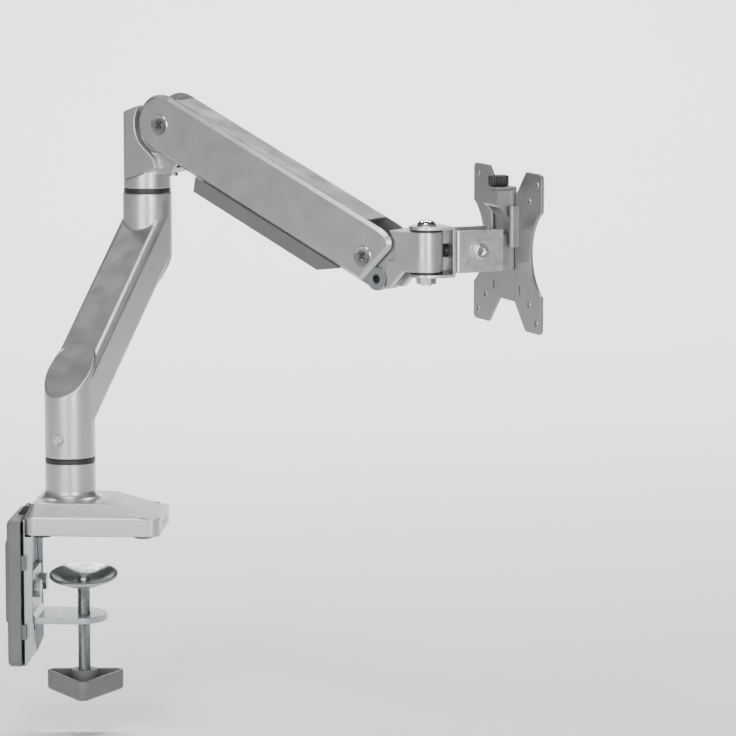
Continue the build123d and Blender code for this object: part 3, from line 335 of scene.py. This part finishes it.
def softened(node, radius, segments=2, accent=None, accent_material=None):
    """Rebuilds a CAD node with its hard edges rounded to a real radius.

    A vertex that a sharp corner throws clear of the node's surface is put back on it.
    """
    bm = bmesh.new()
    bm.from_mesh(NODES[node].data)
    bmesh.ops.remove_doubles(bm, verts=bm.verts, dist=3e-6)
    bmesh.ops.dissolve_limit(
        bm, angle_limit=radians(0.8), verts=bm.verts, edges=bm.edges
    )
    raw = bpy.data.meshes.new(node + "_flat")
    bm.to_mesh(raw)
    bm.free()
    helper = bpy.data.objects.new(node + "_helper", raw)
    bpy.context.scene.collection.objects.link(helper)
    bevel = helper.modifiers.new("edges", "BEVEL")
    bevel.width = radius * MM
    bevel.segments = segments
    bevel.limit_method = "ANGLE"
    bevel.angle_limit = radians(28)
    bevel.use_clamp_overlap = False
    bevel.loop_slide = False
    done = bpy.data.meshes.new_from_object(
        helper.evaluated_get(bpy.context.evaluated_depsgraph_get())
    )
    bpy.data.objects.remove(helper)
    bm = bmesh.new()
    bm.from_mesh(done)
    hold_to_shape(bm, NODES[node].data, radius * MM)
    bm.normal_update()
    for face in bm.faces:
        face.material_index = int(
            accent is not None and accent(face.calc_center_median(), face.normal)
        )
    mesh = mesh_from(bm, node + "_mesh", sharp=40)
    mesh.materials.clear()
    mesh.materials.append(MATERIALS[SLOTS[node]])
    if accent is not None:
        mesh.materials.append(accent_material)
    piece = finish_piece(node + "_soft", mesh, node)
    weighted = piece.modifiers.new("normals", "WEIGHTED_NORMAL")
    weighted.keep_sharp = True
    weighted.weight = 80
    return piece


def lathe(bm, profile, segments=48):
    """Turns (radius, height) points round Z into a closed skin."""
    rings = []
    for r, z in profile:
        if r < 1e-9:
            rings.append([bm.verts.new((0, 0, z))])
            continue
        rings.append(
            [
                bm.verts.new((r * cos(2 * pi * k / segments), r * sin(2 * pi * k / segments), z))
                for k in range(segments)
            ]
        )
    for low, high in zip(rings, rings[1:]):
        for k in range(segments):
            after = (k + 1) % segments
            corners = [low[k % len(low)], low[after % len(low)]]
            corners += [high[after % len(high)], high[k % len(high)]]
            corners = list(dict.fromkeys(corners))
            if len(corners) > 2:
                bm.faces.new(corners)


def threaded(bm, radius, depth, pitch, low, high, around=30, steps=6):
    """A bar with a real helical thread between two heights, with flat ends."""
    rings = []
    count = int((high - low) / pitch * steps)
    for i in range(count + 1):
        z = low + (high - low) * i / count
        fade = min(1, (z - low) / pitch, (high - z) / pitch)
        ring = []
        for k in range(around):
            phase = (z / pitch - k / around) % 1
            groove = 1 - abs(2 * phase - 1)
            r = radius - depth * (1 - fade * (1 - groove))
            angle = 2 * pi * k / around
            ring.append(bm.verts.new((r * cos(angle), r * sin(angle), z)))
        rings.append(ring)
    for lower, upper in zip(rings, rings[1:]):
        for k in range(around):
            after = (k + 1) % around
            bm.faces.new((lower[k], lower[after], upper[after], upper[k]))
    bm.faces.new(list(reversed(rings[0])))
    bm.faces.new(rings[-1])


# Castings, plastic shells and pressed steel: (edge radius in mm, segments)
SOFT_EDGES = {
    "base_casting": (0.9, 3),
    "lower_arm": (1.2, 3),
    "elbow_knuckle": (0.9, 3),
    "front_knuckle": (0.8, 3),
    "arm_under_cover": (0.6, 2),
    "back_cover": (0.4, 2),
    "clamp_knob": (0.6, 2),
    "base_pads": (0.3, 2),
    "cable_tab": (0.5, 2),
    "clamp_bracket": (0.3, 2),
    "clamp_jaw": (0.35, 2),
    "jaw_bolts": (0.3, 2),
    "pressure_disc": (0.3, 2),
    "lower_links": (0.3, 2),
    "swivel_bracket": (0.3, 2),
    "tilt_bracket": (0.3, 2),
    "receiver_bracket": (0.3, 2),
    "swivel_bolt": (0.2, 2),
    "swivel_nut": (0.3, 2),
    "rotation_bolt": (0.2, 2),
    "rotation_nut": (0.25, 2),
    "tilt_bolt": (0.2, 2),
    "tilt_nut": (0.3, 2),
    "tilt_washers": (0.15, 2),
    "knuckle_washers": (0.2, 2),
    "gas_spring_tube": (0.4, 2),
    "gas_spring_rod": (0.2, 2),
    "bracket_screws": (0.25, 2),
    "arm_set_screw": (0.15, 2),
    "link_pins_rear": (0.2, 2),
    "link_pins_front": (0.2, 2),
}
for node, (radius, segments) in SOFT_EDGES.items():
    softened(node, radius, segments)
# The arm's chamfer faces get the pale painted highlight.
softened("arm_housing", 0.3, 2, on_chamfer, CHAMFER_HIGHLIGHT)
softened("vesa_plate", 0.3, 2, on_rail, MATERIALS["head_steel"])


def clamp_screw():
    """The long screw: rolled thread, plain neck in the ball and a peened tip."""
    low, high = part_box("clamp_screw")
    ball_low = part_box("disc_retainer")[0].z
    bm = bmesh.new()
    threaded(bm, (high.x - low.x) / 2, 0.55 * MM, SCREW_PITCH, low.z, ball_low - 3.2 * MM)
    lathe(
        bm,
        [
            (0, ball_low - 5 * MM),
            (4.2 * MM, ball_low - 5 * MM),
            (4.2 * MM, ball_low - 3.4 * MM),
            (SCREW_NECK, ball_low - 2 * MM),
            (SCREW_NECK, high.z - 1.3 * MM),
            (3.7 * MM, high.z - 1.3 * MM),
            (3.3 * MM, high.z - 0.5 * MM),
            (2.2 * MM, high.z - 0.1 * MM),
            (1.1 * MM, high.z),
            (0.8 * MM, high.z - 0.5 * MM),
            (0, high.z - 0.6 * MM),
        ],
    )
    mesh = mesh_from(bm, "clamp_thread_mesh")
    centre = (low + high) / 2
    finish_piece(
        "clamp_screw_thread",
        mesh,
        "clamp_screw",
        place=Matrix.Translation((centre.x, centre.y, 0)),
    )


def thumb_knob():
    """A ribbed plastic knob moulded on a threaded stud."""
    low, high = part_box("thumb_knob")
    centre = (low + high) / 2
    outer = (high.x - low.x) / 2
    place = Matrix.Translation((centre.x, centre.y, high.z - KNOB_TALL))
    around = KNOB_RIBS * 8
    levels = [
        (0.0, 0.86),
        (0.4 * MM, 0.95),
        (0.9 * MM, 1.0),
        (KNOB_TALL - 1.3 * MM, 1.0),
        (KNOB_TALL - 0.5 * MM, 0.96),
        (KNOB_TALL, 0.88),
    ]
    bm = bmesh.new()
    rings = []
    for z, share in levels:
        ring = []
        for k in range(around):
            angle = 2 * pi * k / around
            wave = 0.5 + 0.5 * cos(KNOB_RIBS * angle)
            r = outer * share - 0.55 * MM * wave**2 * (share > 0.9)
            ring.append(bm.verts.new((r * cos(angle), r * sin(angle), z)))
        rings.append(ring)
    for r, z in ((0.72, KNOB_TALL), (0.66, KNOB_TALL - 0.6 * MM), (0.3, KNOB_TALL - 0.8 * MM)):
        rings.append(
            [
                bm.verts.new(
                    (
                        outer * r * cos(2 * pi * k / around),
                        outer * r * sin(2 * pi * k / around),
                        z,
                    )
                )
                for k in range(around)
            ]
        )
    for lower, upper in zip(rings, rings[1:]):
        for k in range(around):
            after = (k + 1) % around
            bm.faces.new((lower[k], lower[after], upper[after], upper[k]))
    bm.faces.new(list(reversed(rings[0])))
    bm.faces.new(rings[-1])
    ribbed = mesh_from(bm, "ribbed_mesh", sharp=50)
    finish_piece("thumb_knob_ribbed", ribbed, "thumb_knob", place=place)
    stud = bmesh.new()
    threaded(stud, STUD_RADIUS, 0.35 * MM, 0.8 * MM, low.z, high.z - KNOB_TALL + 0.5 * MM, 20, 5)
    finish_piece(
        "thumb_knob_stud",
        mesh_from(stud, "stud_mesh"),
        "thumb_knob",
        slot="zinc_steel",
        replace=False,
        place=Matrix.Translation((centre.x, centre.y, 0)),
    )


def pivot_cap(name, joint, side):
    """A spun, cross-slotted cap sunk in the arm's side plate."""
    place = joint_frame(joint, forward=(0, 0, 1))
    place = place @ Matrix.Rotation(0 if side > 0 else pi, 4, "X")
    bm = bmesh.new()
    lathe(
        bm,
        [
            (0, CAP_SEAT),
            (7.5 * MM, CAP_SEAT),
            (7.75 * MM, 14.4 * MM),
            (7.75 * MM, CAP_FACE - 0.5 * MM),
            (7.3 * MM, CAP_FACE),
            (6.5 * MM, CAP_FACE - 0.12 * MM),
            (5.2 * MM, CAP_FACE - 0.35 * MM),
            (3.2 * MM, CAP_FACE - 0.3 * MM),
            (0, CAP_FACE - 0.25 * MM),
        ],
        segments=72,
    )
    mesh = mesh_from(bm, name + "_mesh", sharp=35)
    finish_piece(name, mesh, "pivot_caps", material=SPUN_CHROME, place=place)
    # Black blocks laid in the cross slot: painted shade in place of the slot's dark recess.
    slot = bmesh.new()
    for turn in (0, pi / 2):
        arm = Matrix.Rotation(turn + pi / 4, 4, "Z")
        top = CAP_FACE - 0.12 * MM
        for sign in (1, -1):
            outline = [(0.3, -0.45), (2.9, -0.75), (3.3, 0), (2.9, 0.75), (0.3, 0.45)]
            low, high = (
                [
                    slot.verts.new(arm @ Vector((sign * x * MM, sign * y * MM, top - drop * MM)))
                    for x, y in outline
                ]
                for drop in (0.5, 0.05)
            )
            slot.faces.new(low)
            slot.faces.new(high)
            for k in range(5):
                slot.faces.new((low[k], low[(k + 1) % 5], high[(k + 1) % 5], high[k]))
    finish_piece(
        name + "_slot",
        mesh_from(slot, name + "_slot_mesh", smooth=False),
        "pivot_caps",
        slot="black_steel",
        replace=False,
        place=place,
    )


clamp_screw()
thumb_knob()
for end, joint in (("rear", "arm_lift"), ("front", "knuckle_level")):
    for hand, side in (("near", 1), ("far", -1)):
        pivot_cap(f"{end}_cap_{hand}", joint, side)


# ---------------------------------------------------------------- stage


def stage():
    """A pale sweep: floor, curved cove and back wall."""
    floor_z = CAD_BOX[0][2] - FLOOR_DROP
    sweep = [(-6, floor_z), (-0.5, floor_z), (WALL_START, floor_z)]
    for k in range(1, 17):
        angle = pi / 2 * k / 16
        sweep.append((WALL_START + COVE * sin(angle), floor_z + COVE * (1 - cos(angle))))
    sweep.append((WALL_START + COVE, floor_z + 1.0))
    bm = bmesh.new()
    rows = []
    for y, z in sweep:
        half = FLOOR_HALF if y < 0 else WALL_HALF
        rows.append((bm.verts.new((-half, y, z)), bm.verts.new((half, y, z))))
    for one, two in zip(rows, rows[1:]):
        bm.faces.new((one[0], one[1], two[1], two[0]))
    floor = bpy.data.objects.new("floor", mesh_from(bm, "floor_mesh", sharp=60))
    bpy.context.scene.collection.objects.link(floor)
    shader = Shader("floor_look", Roughness=0.9)
    shader.colour(shader.tint(shader.noise(2, 2), (0.9, 0.9, 0.9), (0.92, 0.92, 0.92)))
    floor.data.materials.append(shader.material)


def area_light(name, place, target, size, watts, tint=(1, 1, 1)):
    data = bpy.data.lights.new(name, "AREA")
    data.shape = "RECTANGLE"
    data.size, data.size_y = size
    data.energy = watts
    data.color = tint
    light = bpy.data.objects.new(name, data)
    bpy.context.scene.collection.objects.link(light)
    light.location = place
    aim = Vector(target) - Vector(place)
    light.rotation_euler = aim.to_track_quat("-Z", "Y").to_euler()


def world():
    sky = bpy.data.worlds.new("studio")
    sky.use_nodes = True
    bpy.context.scene.world = sky
    nodes, links = sky.node_tree.nodes, sky.node_tree.links
    back = nodes["Background"]
    direction = nodes.new("ShaderNodeTexCoord").outputs["Generated"]
    split = nodes.new("ShaderNodeSeparateXYZ")
    links.new(direction, split.inputs["Vector"])

    def ranged(output, start, end, low, high, kind="LINEAR"):
        span = nodes.new("ShaderNodeMapRange")
        span.interpolation_type = kind
        for socket, value in zip(
            ("From Min", "From Max", "To Min", "To Max"), (start, end, low, high)
        ):
            span.inputs[socket].default_value = value
        links.new(output, span.inputs["Value"])
        return span.outputs["Result"]

    # bright where the front of the room is, dim behind and overhead
    front = ranged(split.outputs["Y"], 0.25, -0.9, 0.1, 0.72, "SMOOTHSTEP")
    overhead = ranged(split.outputs["Z"], 0.1, 0.9, 1.0, 0.4)
    both = nodes.new("ShaderNodeMath")
    both.operation = "MULTIPLY"
    links.new(front, both.inputs[0])
    links.new(overhead, both.inputs[1])
    links.new(both.outputs["Value"], back.inputs["Strength"])
    back.inputs["Color"].default_value = (0.97, 0.98, 1, 1)


def camera():
    data = bpy.data.cameras.new("camera")
    data.lens = 195.65
    data.sensor_width = 36
    shot = bpy.data.objects.new("camera", data)
    bpy.context.scene.collection.objects.link(shot)
    right = Vector((0.99756, 0.06976, 0))
    forward = Vector((-0.06908, 0.98786, -0.13917)).normalized()
    up = right.cross(forward)
    turn = Matrix((right, up, -forward)).transposed().to_4x4()
    shot.matrix_world = Matrix.Translation((0.4212, -2.8833, 0.5291)) @ turn
    bpy.context.scene.camera = shot


MIDDLE = (0.15, 0.03, 0.1)
stage()
world()
camera()
area_light("key", (-0.65, -2.1, 0.55), MIDDLE, (1.1, 1.8), 30)
area_light("front", (1.05, -2.05, 0.45), MIDDLE, (0.55, 1.8), 34, (0.99, 0.99, 1))
area_light("top", (0.0, -0.75, 1.9), MIDDLE, (0.6, 0.5), 13)
area_light("wall", (0, 1.5, 2.4), (0, 2.9, 0.1), (2.6, 0.6), 190)
